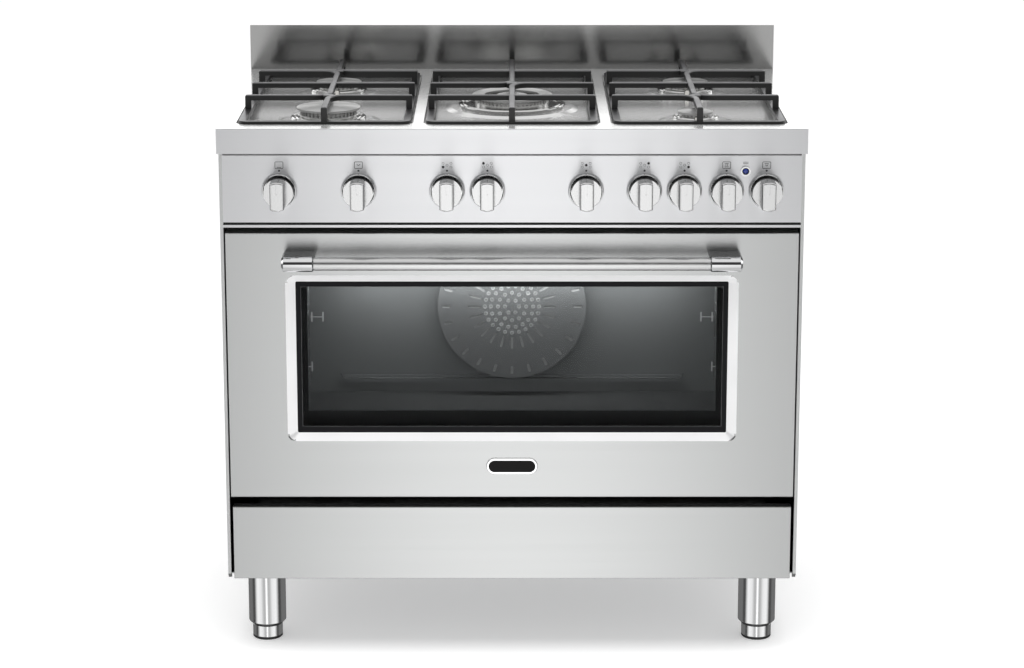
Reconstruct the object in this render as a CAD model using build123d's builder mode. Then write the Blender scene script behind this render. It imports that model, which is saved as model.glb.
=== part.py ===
"""Free-standing range cooker with a gas hob, one wide oven and a storage compartment.

Millimetres, +Z up, front towards -Y, origin at the centre of the footprint on the floor.
"""

import os
from math import pi

from build123d import *

os.makedirs("parts", exist_ok=True)

# Overall
hob_width = 900
hob_depth = 600
hob_height = 850
hob_lip = 39
splash_height = 76
splash_depth = 15
sheet = 1.5
edge_round = 1.2

# Cabinet
side_inset = 3
face_setback = 3
side_edge = 5
side_fold = 12
side_notch = 8
body_bottom = 130
base_sheet = 2
back_recess = 35
fixing_spacing = 600
fixing_radius = 3.25
fixing_drop = 70
vent_length = 90
vent_width = 6
vent_pitch = 16
vent_spacing = 117
vent_columns = 4
vent_rows = 5

# Legs and feet
leg_inset = 55
leg_front_inset = 99
leg_rear_inset = 105
leg_radius = 30
leg_wall = 2
leg_plate = 10
leg_chamfer = 5
foot_radius = 24
foot_height = 24
foot_chamfer = 1.5
stem_radius = 10
stem_length = 70
fit_gap = 0.05

# Hob wells and pan supports
well_margin = 26
well_gap = 16
well_front = 36
well_rear = 71
well_drop = 14
well_slope = 6
well_corner = 20
grate_gap = 4
grate_rim = 11
grate_rim_height = 8
grate_rim_rise = 4
grate_bar = 9.5
grate_bar_height = 8.5
grate_top = 26
grate_bend = 26
grate_web = 9
grate_round = 2.8
front_bar_in = 159
middle_bar_shift = -2.5
rear_bar_in = 195
grate_foot_radius = 4
grate_foot_inset = 35

# Burners: side, front (-1) or rear (1) edge of the hob, distance in from it, cap radius, cap top above the hob
burners = {
    "front_left": (-1, -1, 148, 50, 12),
    "rear_left": (-1, 1, 185, 37.5, 9),
    "rear_right": (1, 1, 185, 37.5, 9),
    "front_right": (1, -1, 148, 27, 5),
}
wok_shift = -12.5
wok_radius = 65
wok_ring = 21
wok_inner_radius = 24
wok_top = 11
wok_bowl = 86
cap_thickness = 6
cap_overhang = 5
crown_wall = 6
tooth_pitch = 7
tooth_width = 3
tooth_depth = 4
tooth_share = 0.6
cup_overhang = 9
cup_flange = 4
cup_bead = 2.2
cup_bead_low = 0.6
cup_beads_in = (2.8, 9)
cup_body = 20
cup_drop = 21
cup_clearance = 1
dome_rise = 3
dome_land = 12
dome_slope = 10
igniter_radius = 3
igniter_height = 9
igniter_offset = 6

# Control panel and knobs
panel_height = 122
panel_strip = 4
panel_groove = 4
panel_tuck = 7
knob_rise = 58
# Knob places: panel end (-1 left, 1 right) or middle (0) that they are measured from, and distance from it
gas_knob_places = {
    "front_left": (0, -99),
    "rear_left": (0, -37.5),
    "centre": (1, -329),
    "rear_right": (1, -240),
    "front_right": (1, -179),
}
oven_knob_places = {"thermostat": (-1, 87), "timer": (-1, 208), "selector": (1, -115), "grill": (1, -54)}
bezel_radius = 27.5
bezel_taper = 1
bezel_wall = 4
bezel_depth = 10
bezel_floor = 2
knob_radius = 22.6
knob_rear = 7
knob_disc_front = 24
knob_front = 54
grip_width = 21
grip_radius = 22.4
grip_round = 2.5
pointer_width = 2
pointer_depth = 1
pointer_length = 16
push_travel = 4
push_spare = 0.5
spindle_radius = 4
spindle_into_knob = 13
spindle_into_tap = 25
shaft_hole = 7
neck_radius = 9
tap_width = 24
tap_height = 26
tap_front = 20
tap_depth = 40
switch_height = 24
lamp_inset = 86
lamp_rise = 88
lamp_radius = 4.5
lamp_proud = 3.5
lamp_bezel = 7.5
lamp_bezel_depth = 3
lamp_depth = 12
lamp_round = 2.7

# Gas pipes
manifold = 18
pipe_radius = 4
pipe_bend = 7
pipe_low_drop = 28
pipe_high_drop = 14
inlet_inset = 45
inlet_radius = 10.48
inlet_length = 22
inlet_neck = 10
inlet_hole = 10.8
inlet_collar = 16
collar_thickness = 3

# Oven
cavity_inset = 82
cavity_rise = 40.5
cavity_drop = 51
cavity_rear_space = 92
cavity_corner = 20
insulation = 25
frame_sheet = 2
seal_width = 8
seal_inset = 3
seal_clearance = 0.3
seal_round = 2.5
rib_inset = 67.5
rib_height = 12
rib_rise = 4
rib_up = 24
fan_shift = -11
cover_margin = 44
cover_depth = 34
cover_sheet = 1.2
cover_rings = ((6, 0.095), (12, 0.19), (18, 0.286), (24, 0.365))
cover_hole = 2.6
slot_count = 24
slot_share = 0.508
slot_length = 21
slot_width = 4
outer_slot_share = 0.889
outer_slot_length = 15
outer_slot_width = 5
fan_share = 0.556
fan_blades = 12
blade_length = 26
blade_depth = 16
blade_thickness = 1.2
fan_hub = 14
fan_clear = 8
motor_radius = 35
motor_flange = 42
motor_flange_thickness = 3
motor_length = 60
motor_hole = 45
shaft_pass = 8
shaft_into_motor = 30
element_radius = 3.3
ring_share = 0.754
ring_stand = 16
grill_drop = 18
grill_inset = 110
grill_runs = 4
grill_front = 60
grill_bend = 30
oven_lamp_inset = 110
oven_lamp_drop = 55
oven_lamp_radius = 22
oven_lamp_depth = 14
oven_lamp_round = 8
rack_wire = 2.5
rack_post = 3
rack_post_end = 6
rack_stand = 15
rack_front = 60
rack_rear = 60
rack_low_up = 35
rack_high_drop = 45
rack_levels = 5
rack_pair = 14

# Door
door_flap_gap = 16.5
door_panel_gap = 9
door_gap = 2
door_thickness = 40
seal_gap = 8
window_shift = 12.25
window_inset = 91
window_margin = 78.75
window_corner = 12
window_inner_corner = 2.5
window_bevel_x = 15
window_bevel_z = 11.5
window_depth = 9
glass_thickness = 4
glass_overlap = 10
handle_drop = 38
handle_standoff = 45
handle_radius = 10
handle_inset = 90
bracket_width = 50
bracket_height = 24
bracket_chamfer = 3
bar_into_bracket = 30
badge_up = 50.5
badge_width = 80
badge_height = 26
badge_thickness = 2
badge_rim = 3.5
badge_recess = 0.6
badge_chamfer = 0.8
hinge_inset = 40
hinge_back = 22
hinge_up = 14
arm_thickness = 5
arm_half_height = 7
arm_gap = 1.5
cheek = 2.5
hinge_box_height = 63
hinge_pin_radius = 4

# Storage flap and box
flap_gap = 4.5
flap_height = 118
flap_depth = 18
flap_sheet = 1.2
flap_pivot_back = 12
flap_pivot_up = 8
flap_pin_radius = 3
ear_thickness = 3
ear_clear = 2.3
ear_half_height = 6
ear_slot = 4
tray_setback = 25
ear_overlap = 15
storage_gap = 45.5
storage_drop = 4
storage_rear = 82
storage_setback = 5

# Mains terminal box
terminal_inset = 110
terminal_up = 90
terminal_width = 80
terminal_height = 80
terminal_depth = 28
terminal_wall = 2
gland_radius = 11
gland_bore = 5
gland_length = 20

# Places worked out from the sizes above
front_reach = handle_standoff + bracket_height / 2
total_depth = hob_depth + front_reach - face_setback
hob_front = front_reach - face_setback - total_depth / 2
hob_back = hob_front + hob_depth
hob_mid = (hob_front + hob_back) / 2
half_width = hob_width / 2
face_y = hob_front + face_setback
body_half = half_width - side_inset
side_inner = body_half - sheet
opening_half = body_half - side_edge
back_y = hob_back - back_recess
plate_under = hob_height - sheet
lip_bottom = hob_height - hob_lip
fixing_height = hob_height - fixing_drop
base_top = body_bottom + base_sheet
leg_x = half_width - leg_inset

# Hob places
well_width = (hob_width - 2 * well_margin - 2 * well_gap) / 3
well_depth_along = hob_depth - well_front - well_rear
well_floor = hob_height - well_drop
well_y = hob_front + well_front + well_depth_along / 2
well_pitch = well_width + well_gap
burner_x = well_pitch
wok_y = well_y + wok_shift
front_bar = hob_front + front_bar_in
middle_bar = well_y + middle_bar_shift
rear_bar = hob_back - rear_bar_in

# Panel places
panel_bottom = lip_bottom + panel_tuck - panel_height
knob_height = panel_bottom + knob_rise
lamp_height = panel_bottom + lamp_rise
lamp_x = opening_half - lamp_inset
gas_knobs = {name: end * opening_half + along for name, (end, along) in gas_knob_places.items()}
oven_knobs = {name: end * opening_half + along for name, (end, along) in oven_knob_places.items()}
all_knobs = list(gas_knobs.values()) + list(oven_knobs.values())
tap_bottom = knob_height - tap_height / 2
tap_y = face_y + tap_front + tap_depth / 2
pipe_low = lip_bottom - pipe_low_drop
pipe_high = lip_bottom - pipe_high_drop
inlet_x = half_width - inlet_inset

# Flap and storage places
flap_half = opening_half - flap_gap
flap_top = body_bottom + flap_height
flap_y = face_y + flap_pivot_back
flap_z = body_bottom + flap_pivot_up
tray_front = face_y + tray_setback
storage_half = side_inner - storage_gap
storage_top = flap_top - storage_drop
storage_front = tray_front + storage_setback
storage_depth = back_y - storage_rear - storage_front
terminal_x = terminal_inset - half_width
terminal_z = body_bottom + terminal_up

# Door places
door_half = opening_half - door_gap
door_bottom = flap_top + door_flap_gap
door_top = panel_bottom - door_panel_gap
door_rear = face_y + door_thickness
window_z = (door_bottom + door_top) / 2 + window_shift
window_width = 2 * (door_half - window_inset)
window_height = door_top - door_bottom - 2 * window_margin
handle_z = door_top - handle_drop
handle_half = door_half - handle_inset
badge_z = door_bottom + badge_up
hinge_x = door_half - hinge_inset
hinge_y = face_y + hinge_back
hinge_z = door_bottom + hinge_up

# Oven places
frame_bottom = flap_top
frame_y = face_y + door_thickness + seal_gap
frame_back = frame_y + frame_sheet
cavity_depth = back_y - cavity_rear_space - frame_back
cavity_rear = frame_back + cavity_depth
cavity_width = 2 * (opening_half - cavity_inset)
cavity_half = cavity_width / 2
cavity_bottom = door_bottom + cavity_rise
cavity_top = panel_bottom - cavity_drop
cavity_z = (cavity_bottom + cavity_top) / 2
cavity_height = cavity_top - cavity_bottom
rib_length = cavity_width - 2 * rib_inset
rib_z = cavity_bottom + rib_up
fan_z = cavity_z + fan_shift
cover_radius = cavity_height / 2 - cover_margin
slot_ring = slot_share * cover_radius
outer_slot_ring = outer_slot_share * cover_radius
fan_radius = fan_share * cover_radius
ring_radius = ring_share * cover_radius
grill_half = cavity_half - grill_inset
oven_lamp_x = cavity_half - oven_lamp_inset
oven_lamp_z = cavity_top - oven_lamp_drop
rack_length = cavity_depth - rack_front - rack_rear
rack_low = cavity_bottom + rack_low_up
rack_high = cavity_top - rack_high_drop


def front_plane(y):
    """Upright plane at depth y: its X is the row's X, its Y the row's Z, and it faces the front."""
    return Plane.XZ.offset(-y)


def block(x0, x1, y0, y1, z0, z1, mode=Mode.ADD):
    """Rectangular block between two opposite corners."""
    with Locations(((x0 + x1) / 2, (y0 + y1) / 2, (z0 + z1) / 2)):
        Box(abs(x1 - x0), abs(y1 - y0), abs(z1 - z0), mode=mode)


def rod(start, axis, radius, length, mode=Mode.ADD):
    """Round bar from a start point along +X, +Y or +Z."""
    turn = {"x": (0, 90, 0), "y": (-90, 0, 0), "z": (0, 0, 0)}[axis]
    with Locations(start):
        Cylinder(radius, length, rotation=turn, align=(Align.CENTER, Align.CENTER, Align.MIN), mode=mode)


def save(builder, name):
    """Label a finished piece and write its file."""
    builder.part.label = name
    export_step(builder.part, f"parts/{name}.step")


# Side panels with a folded front edge
for side, side_name in ((-1, "left"), (1, "right")):
    with BuildPart() as side_panel:
        block(side * side_inner, side * body_half, face_y, back_y, body_bottom, plate_under)
        block(side * opening_half, side * side_inner, face_y, face_y + side_fold, body_bottom, plate_under)
        low_front = side_panel.edges().filter_by(Axis.X).group_by(Axis.Z)[0].group_by(Axis.Y)[0]
        chamfer(low_front, length=side_notch)
    save(side_panel, f"side_panel_{side_name}")

# Back panel with vents, the gas inlet's hole and two wall fixings
with BuildPart() as back_panel:
    block(-side_inner, side_inner, back_y - sheet, back_y, body_bottom, plate_under)
    with BuildSketch(front_plane(back_y)):
        with Locations((inlet_x, tap_bottom - manifold / 2)):
            Circle(inlet_hole)
        with Locations((-fixing_spacing / 2, fixing_height), (fixing_spacing / 2, fixing_height)):
            Circle(fixing_radius)
        with Locations((0, (cavity_bottom + body_bottom) / 2), (0, fan_z)):
            with GridLocations(vent_spacing, vent_pitch, vent_columns, vent_rows):
                SlotOverall(vent_length, vent_width)
    extrude(amount=sheet, mode=Mode.SUBTRACT)
save(back_panel, "back_panel")

# Base tray with the flap's hinge ears and pins
ear_outer = flap_half - flap_sheet - ear_clear
with BuildPart() as base_frame:
    block(-side_inner, side_inner, tray_front, back_y - sheet, body_bottom, base_top)
    for side in (-1, 1):
        block(side * (ear_outer - ear_thickness), side * ear_outer, flap_y - ear_half_height,
              tray_front + ear_overlap, base_top, flap_z + ear_half_height)
        block(side * (ear_outer - ear_thickness), side * ear_outer, tray_front,
              tray_front + ear_overlap, body_bottom, base_top)
        pin_start = min(side * ear_outer, side * flap_half)
        rod((pin_start, flap_y, flap_z), "x", flap_pin_radius, flap_half - ear_outer)
save(base_frame, "base_frame")

# Front frame round the oven's mouth
with BuildPart() as front_frame:
    block(-side_inner, side_inner, frame_y, frame_back, frame_bottom, panel_bottom)
    with BuildSketch(front_plane(frame_y)):
        with Locations((0, cavity_z)):
            RectangleRounded(cavity_width, cavity_height, cavity_corner)
    extrude(amount=-frame_sheet, mode=Mode.SUBTRACT)
save(front_frame, "front_frame")

# Enamelled oven cavity with a long rib on its rear wall
with BuildPart() as oven_cavity:
    with BuildSketch(front_plane(frame_back)):
        with Locations((0, cavity_z)):
            RectangleRounded(cavity_width + 2 * sheet, cavity_height + 2 * sheet, cavity_corner + sheet)
    extrude(amount=-(cavity_depth + sheet))
    with BuildSketch(front_plane(frame_back)):
        with Locations((0, cavity_z)):
            RectangleRounded(cavity_width, cavity_height, cavity_corner)
    extrude(amount=-cavity_depth, mode=Mode.SUBTRACT)
    with BuildSketch(front_plane(cavity_rear)):
        with Locations((0, rib_z)):
            SlotOverall(rib_length, rib_height)
    extrude(amount=rib_rise)
    rod((0, cavity_rear, fan_z), "y", shaft_pass, sheet, Mode.SUBTRACT)
save(oven_cavity, "oven_cavity")

# Insulation wrapped round the cavity
with BuildPart() as oven_insulation:
    with BuildSketch(front_plane(frame_back)):
        with Locations((0, cavity_z)):
            RectangleRounded(cavity_width + 2 * (sheet + insulation), cavity_height + 2 * (sheet + insulation),
                             cavity_corner + sheet + insulation)
    extrude(amount=-(cavity_depth + sheet + insulation))
    with BuildSketch(front_plane(frame_back)):
        with Locations((0, cavity_z)):
            RectangleRounded(cavity_width + 2 * sheet, cavity_height + 2 * sheet, cavity_corner + sheet)
    extrude(amount=-(cavity_depth + sheet), mode=Mode.SUBTRACT)
    rod((0, cavity_rear + sheet, fan_z), "y", motor_hole, insulation, Mode.SUBTRACT)
save(oven_insulation, "oven_insulation")

# Door seal round the mouth
with BuildPart() as door_seal:
    with BuildSketch(front_plane(frame_y)):
        with Locations((0, cavity_z)):
            RectangleRounded(cavity_width + 2 * (seal_inset + seal_width),
                             cavity_height + 2 * (seal_inset + seal_width),
                             cavity_corner + seal_inset + seal_width)
            RectangleRounded(cavity_width + 2 * seal_inset, cavity_height + 2 * seal_inset,
                             cavity_corner + seal_inset, mode=Mode.SUBTRACT)
    extrude(amount=seal_gap - seal_clearance)
    fillet(door_seal.faces().sort_by(Axis.Y)[0].edges(), radius=seal_round)
save(door_seal, "door_seal")

# Hob pressing: a shallow pan turned over, with three wells
burner_y = {name: hob_mid + row[1] * (hob_depth / 2 - row[2]) for name, row in burners.items()}
hob_places = [(side * burner_x, burner_y[name], radius, top)
              for name, (side, end, inset, radius, top) in burners.items()]
cup_radii = [radius + cup_overhang for x, y, radius, top in hob_places] + [wok_bowl]
cup_places = [(x, y) for x, y, radius, top in hob_places] + [(0, wok_y)]
hole_radius = cup_body + cup_clearance
with BuildPart() as hob_top:
    block(-half_width, half_width, hob_front, hob_back, lip_bottom, hob_height)
    fillet(hob_top.faces().sort_by(Axis.Z)[-1].edges(), radius=edge_round)
    block(-half_width + sheet, half_width - sheet, hob_front + sheet, hob_back - sheet,
          lip_bottom, plate_under, Mode.SUBTRACT)
    for column in (-1, 0, 1):
        with BuildSketch(Plane.XY.offset(hob_height - sheet / 2)):
            with Locations((column * well_pitch, well_y)):
                RectangleRounded(well_width + 2 * sheet, well_depth_along + 2 * sheet, well_corner + sheet)
        with BuildSketch(Plane.XY.offset(well_floor - sheet)):
            with Locations((column * well_pitch, well_y)):
                RectangleRounded(well_width - 2 * well_slope + 2 * sheet,
                                 well_depth_along - 2 * well_slope + 2 * sheet, well_corner)
        loft()
        with BuildSketch(Plane.XY.offset(hob_height)):
            with Locations((column * well_pitch, well_y)):
                RectangleRounded(well_width, well_depth_along, well_corner)
        with BuildSketch(Plane.XY.offset(well_floor)):
            with Locations((column * well_pitch, well_y)):
                RectangleRounded(well_width - 2 * well_slope, well_depth_along - 2 * well_slope,
                                 well_corner - sheet)
        loft(mode=Mode.SUBTRACT)
    for (x, y), cup_radius in zip(cup_places, cup_radii):
        with Locations((x, y, well_floor)):
            Cone(cup_radius + dome_land + dome_slope, cup_radius + dome_land, dome_rise,
                 align=(Align.CENTER, Align.CENTER, Align.MIN))
        rod((x, y, well_floor - sheet), "z", hole_radius, sheet + dome_rise, Mode.SUBTRACT)
save(hob_top, "hob_top")

# Splashback, a folded sheet open at the rear
with BuildPart() as splashback:
    splash_top = hob_height + splash_height
    block(-half_width, half_width, hob_back - splash_depth, hob_back, hob_height, splash_top)
    block(-half_width + sheet, half_width - sheet, hob_back - splash_depth + sheet, hob_back,
          hob_height, splash_top - sheet, Mode.SUBTRACT)
save(splashback, "splashback")

# Control panel with a groove, a strip and a return along its lower edge
strip_top = panel_bottom + panel_strip
groove_top = strip_top + panel_groove
panel_top = lip_bottom + panel_tuck
with BuildPart() as control_panel:
    with BuildSketch(Plane.YZ):
        with BuildLine():
            Polyline(
                (face_y, panel_top), (face_y, groove_top), (face_y + panel_groove, groove_top),
                (face_y + panel_groove, strip_top), (face_y, strip_top), (face_y, panel_bottom),
                (frame_back, panel_bottom), (frame_back, panel_bottom + sheet),
                (face_y + panel_groove + sheet, panel_bottom + sheet),
                (face_y + panel_groove + sheet, groove_top + sheet), (face_y + sheet, groove_top + sheet),
                (face_y + sheet, panel_top), close=True)
        make_face()
    extrude(amount=opening_half, both=True)
    with BuildSketch(front_plane(face_y)):
        with Locations([(x, knob_height) for x in all_knobs]):
            Circle(shaft_hole)
        with Locations((lamp_x, lamp_height)):
            Circle(lamp_radius + fit_gap)
    extrude(amount=-sheet, mode=Mode.SUBTRACT)
save(control_panel, "control_panel")

# Gas manifold with its rear inlet, and a pipe from each tap to its burner
pipe_ends = {
    "front_left": (-burner_x, burner_y["front_left"], pipe_low),
    "rear_left": (-burner_x + neck_radius, burner_y["rear_left"], pipe_high),
    "centre": (0, wok_y, pipe_low),
    "rear_right": (burner_x - neck_radius, burner_y["rear_right"], pipe_high),
    "front_right": (burner_x, burner_y["front_right"], pipe_low),
}
cup_bottom = well_floor - cup_drop
manifold_z = tap_bottom - manifold / 2
manifold_left = gas_knobs["front_left"] - tap_width
with BuildPart() as gas_pipes:
    block(manifold_left, inlet_x + manifold / 2, tap_y - manifold / 2, tap_y + manifold / 2,
          tap_bottom - manifold, tap_bottom)
    collar_y = back_y - sheet - collar_thickness
    rod((inlet_x, tap_y, manifold_z), "y", manifold / 2, collar_y - tap_y)
    rod((inlet_x, collar_y, manifold_z), "y", inlet_collar, collar_thickness)
    rod((inlet_x, back_y - sheet, manifold_z), "y", inlet_neck, sheet)
    rod((inlet_x, back_y, manifold_z), "y", inlet_radius, inlet_length)
    for name, tap_x in gas_knobs.items():
        end_x, end_y, level = pipe_ends[name]
        with BuildLine() as route:
            FilletPolyline((tap_x, tap_y, tap_bottom + tap_height), (tap_x, tap_y, level),
                           (end_x, tap_y, level), (end_x, end_y, level), (end_x, end_y, cup_bottom),
                           radius=pipe_bend)
        with BuildSketch(route.line ^ 0):
            Circle(pipe_radius)
        sweep(path=route.line)
save(gas_pipes, "gas_pipes")

# Gas taps on the manifold, their necks against the panel's rear
bore_length = tap_front + spindle_into_tap
with BuildPart() as gas_taps:
    for x in gas_knobs.values():
        block(x - tap_width / 2, x + tap_width / 2, face_y + tap_front, face_y + tap_front + tap_depth,
              tap_bottom, tap_bottom + tap_height)
        rod((x, face_y + sheet, knob_height), "y", neck_radius, tap_front - sheet)
        rod((x, face_y + sheet, knob_height), "y", spindle_radius + fit_gap, bore_length, Mode.SUBTRACT)
save(gas_taps, "gas_taps")

# Oven switches behind the other knobs
with BuildPart() as oven_switches:
    for x in oven_knobs.values():
        block(x - tap_width / 2, x + tap_width / 2, face_y + tap_front, face_y + tap_front + tap_depth,
              knob_height - switch_height / 2, knob_height + switch_height / 2)
        rod((x, face_y + sheet, knob_height), "y", neck_radius, tap_front - sheet)
        rod((x, face_y + sheet, knob_height), "y", spindle_radius + fit_gap, bore_length, Mode.SUBTRACT)
save(oven_switches, "oven_switches")

# Knob bezels and the indicator's small bezel
with BuildPart() as knob_bezels:
    for x in all_knobs:
        centre = (x, face_y, knob_height)
        inside = bezel_radius - bezel_wall
        rim_outside = bezel_radius - bezel_taper
        rim_start = bezel_wall / 2 - bezel_depth
        with BuildSketch(Plane(centre, x_dir=(1, 0, 0), z_dir=(0, 0, 1))):
            with BuildLine():
                Polyline((inside, rim_start), (inside, -bezel_floor), (shaft_hole, -bezel_floor),
                         (shaft_hole, 0), (bezel_radius, 0), (rim_outside, rim_start))
                ThreePointArc((rim_outside, rim_start), ((inside + rim_outside) / 2, -bezel_depth),
                              (inside, rim_start))
            make_face()
        revolve(axis=Axis(centre, (0, 1, 0)))
    rod((lamp_x, face_y - lamp_bezel_depth, lamp_height), "y", lamp_bezel, lamp_bezel_depth)
    rod((lamp_x, face_y - lamp_bezel_depth, lamp_height), "y", lamp_radius + fit_gap, lamp_bezel_depth,
        Mode.SUBTRACT)
save(knob_bezels, "knob_bezels")

# Indicator lamp with a domed lens and a rear collar
with BuildPart() as indicator_lamp:
    rod((lamp_x, face_y - lamp_proud, lamp_height), "y", lamp_radius, lamp_proud + lamp_depth)
    fillet(indicator_lamp.faces().sort_by(Axis.Y)[0].edges(), radius=lamp_round)
    rod((lamp_x, face_y + sheet, lamp_height), "y", lamp_bezel, lamp_depth - sheet)
save(indicator_lamp, "indicator_lamp")

# Tap spindles of the gas knobs
spindle_front = face_y - knob_rear - spindle_into_knob
spindle_back = face_y + tap_front + spindle_into_tap
for name, x in gas_knobs.items():
    with BuildPart() as spindle:
        rod((x, spindle_front, knob_height), "y", spindle_radius, spindle_back - spindle_front)
    save(spindle, f"tap_spindle_{name}")

# Knobs: gas knobs slide on their spindles, oven knobs carry their own shaft
for name, x in {**gas_knobs, **oven_knobs}.items():
    on_spindle = name in gas_knobs
    with BuildPart() as knob:
        rod((x, face_y - knob_disc_front, knob_height), "y", knob_radius, knob_disc_front - knob_rear)
        with BuildSketch(front_plane(face_y - knob_disc_front)):
            with Locations((x, knob_height)):
                Circle(grip_radius)
                Rectangle(grip_width, 2 * knob_radius, mode=Mode.INTERSECT)
        extrude(amount=knob_front - knob_disc_front)
        fillet(knob.faces().sort_by(Axis.Y)[0].edges(), radius=grip_round)
        pointer_bottom = knob_height + grip_radius - grip_round - pointer_length
        block(x - pointer_width / 2, x + pointer_width / 2, face_y - knob_front,
              face_y - knob_front + pointer_depth, pointer_bottom, pointer_bottom + pointer_length,
              Mode.SUBTRACT)
        if on_spindle:
            bore_depth = spindle_into_knob + push_travel + push_spare
            rod((x, face_y - knob_rear - bore_depth, knob_height), "y", spindle_radius + fit_gap, bore_depth,
                Mode.SUBTRACT)
        else:
            rod((x, face_y - knob_rear, knob_height), "y", spindle_radius, spindle_back - face_y + knob_rear)
    save(knob, f"gas_knob_{name}" if on_spindle else f"oven_knob_{name}")

# Legs: tubes with a bored plate at the bottom, and a foot on a stem in each
leg_places = {
    "front_left": (-leg_x, hob_front + leg_front_inset),
    "front_right": (leg_x, hob_front + leg_front_inset),
    "rear_left": (-leg_x, hob_back - leg_rear_inset),
    "rear_right": (leg_x, hob_back - leg_rear_inset),
}
with BuildPart() as leg_tubes:
    for x, y in leg_places.values():
        rod((x, y, foot_height), "z", leg_radius, body_bottom - foot_height)
    low_rims = leg_tubes.edges().filter_by(GeomType.CIRCLE).group_by(Axis.Z)[0]
    chamfer(low_rims, length=leg_chamfer)
    for x, y in leg_places.values():
        rod((x, y, foot_height + leg_plate), "z", leg_radius - leg_wall, body_bottom - foot_height - leg_plate,
            Mode.SUBTRACT)
        rod((x, y, foot_height), "z", stem_radius + fit_gap, leg_plate, Mode.SUBTRACT)
save(leg_tubes, "leg_tubes")

for name, (x, y) in leg_places.items():
    with BuildPart() as foot:
        rod((x, y, 0), "z", foot_radius, foot_height)
        chamfer(foot.edges().filter_by(GeomType.CIRCLE), length=foot_chamfer)
        rod((x, y, foot_height), "z", stem_radius, stem_length)
    save(foot, f"foot_{name}")

# Storage box behind the flap
with BuildPart() as storage_box:
    block(-storage_half, storage_half, storage_front, storage_front + storage_depth, base_top, storage_top)
    block(-storage_half + sheet, storage_half - sheet, storage_front, storage_front + storage_depth - sheet,
          base_top + sheet, storage_top - sheet, Mode.SUBTRACT)
save(storage_box, "storage_box")

# Wire shelf supports on the cavity's side walls
with BuildPart() as rack_supports:
    level_step = (rack_high - rack_low - rack_pair) / (rack_levels - 1)
    for side in (-1, 1):
        wire_x = side * (cavity_half - rack_stand)
        for y in (frame_back + rack_front, frame_back + rack_front + rack_length):
            rod((wire_x, y, rack_low - rack_post_end), "z", rack_post, rack_high - rack_low + 2 * rack_post_end)
            for z in (rack_low + rack_pair / 2, rack_high - rack_pair / 2):
                rod((min(wire_x, side * cavity_half), y, z), "x", rack_wire, rack_stand)
        for level in range(rack_levels):
            for z in (rack_low + level * level_step, rack_low + level * level_step + rack_pair):
                rod((wire_x, frame_back + rack_front, z), "y", rack_wire, rack_length)
save(rack_supports, "rack_supports")

# Perforated fan cover on the rear wall
with BuildPart() as fan_cover:
    rod((0, cavity_rear - cover_depth, fan_z), "y", cover_radius, cover_depth)
    rod((0, cavity_rear - cover_depth + cover_sheet, fan_z), "y", cover_radius - cover_sheet,
        cover_depth - cover_sheet, Mode.SUBTRACT)
    with BuildSketch(front_plane(cavity_rear - cover_depth)):
        with Locations((0, fan_z)):
            for count, share in cover_rings:
                with PolarLocations(share * cover_radius, count):
                    Circle(cover_hole)
            with PolarLocations(slot_ring, slot_count):
                SlotOverall(slot_length, slot_width)
            with PolarLocations(outer_slot_ring, slot_count):
                SlotOverall(outer_slot_length, outer_slot_width)
    extrude(amount=-cover_sheet, mode=Mode.SUBTRACT)
save(fan_cover, "fan_cover")

# Fan motor behind the cavity
motor_front = cavity_rear + sheet
with BuildPart() as fan_motor:
    rod((0, motor_front, fan_z), "y", motor_flange, motor_flange_thickness)
    rod((0, motor_front + motor_flange_thickness, fan_z), "y", motor_radius, motor_length)
    rod((0, motor_front, fan_z), "y", spindle_radius + fit_gap, shaft_into_motor, Mode.SUBTRACT)
save(fan_motor, "fan_motor")

# Fan wheel with its shaft
with BuildPart() as fan_wheel:
    disc_y = cavity_rear - fan_clear
    rod((0, disc_y - blade_thickness, fan_z), "y", fan_radius, blade_thickness)
    rod((0, disc_y - blade_depth, fan_z), "y", fan_hub, blade_depth)
    rod((0, disc_y, fan_z), "y", spindle_radius, fan_clear + sheet + shaft_into_motor)
    blade_reach = fan_radius - blade_length / 2
    with BuildSketch(front_plane(disc_y - blade_thickness)):
        with Locations((0, fan_z)):
            with PolarLocations(blade_reach, fan_blades):
                Rectangle(blade_length, blade_thickness)
    extrude(amount=blade_depth)
save(fan_wheel, "fan_wheel")

# Heating elements: a ring round the fan and a grill element under the roof
with BuildPart() as heating_elements:
    with Locations((0, cavity_rear - ring_stand, fan_z)):
        Torus(ring_radius, element_radius, rotation=(90, 0, 0))
    for side in (-1, 1):
        rod((side * ring_radius, cavity_rear - ring_stand, fan_z), "y", element_radius, ring_stand)
    grill_z = cavity_top - grill_drop
    grill_step = 2 * grill_half / (grill_runs - 1)
    grill_points = []
    for run in range(grill_runs):
        x = -grill_half + run * grill_step
        ends = [cavity_rear - grill_bend * 2, frame_back + grill_front]
        if run in (0, grill_runs - 1):
            ends[0] = cavity_rear
        if run % 2:
            ends.reverse()
        grill_points += [(x, y, grill_z) for y in ends]
    with BuildLine() as grill_route:
        FilletPolyline(*grill_points, radius=grill_bend)
    with BuildSketch(grill_route.line ^ 0):
        Circle(element_radius)
    sweep(path=grill_route.line)
save(heating_elements, "heating_elements")

# Oven lamp on the rear wall
with BuildPart() as oven_lamp:
    rod((oven_lamp_x, cavity_rear - oven_lamp_depth, oven_lamp_z), "y", oven_lamp_radius, oven_lamp_depth)
    fillet(oven_lamp.faces().sort_by(Axis.Y)[0].edges(), radius=oven_lamp_round)
save(oven_lamp, "oven_lamp")

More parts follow.
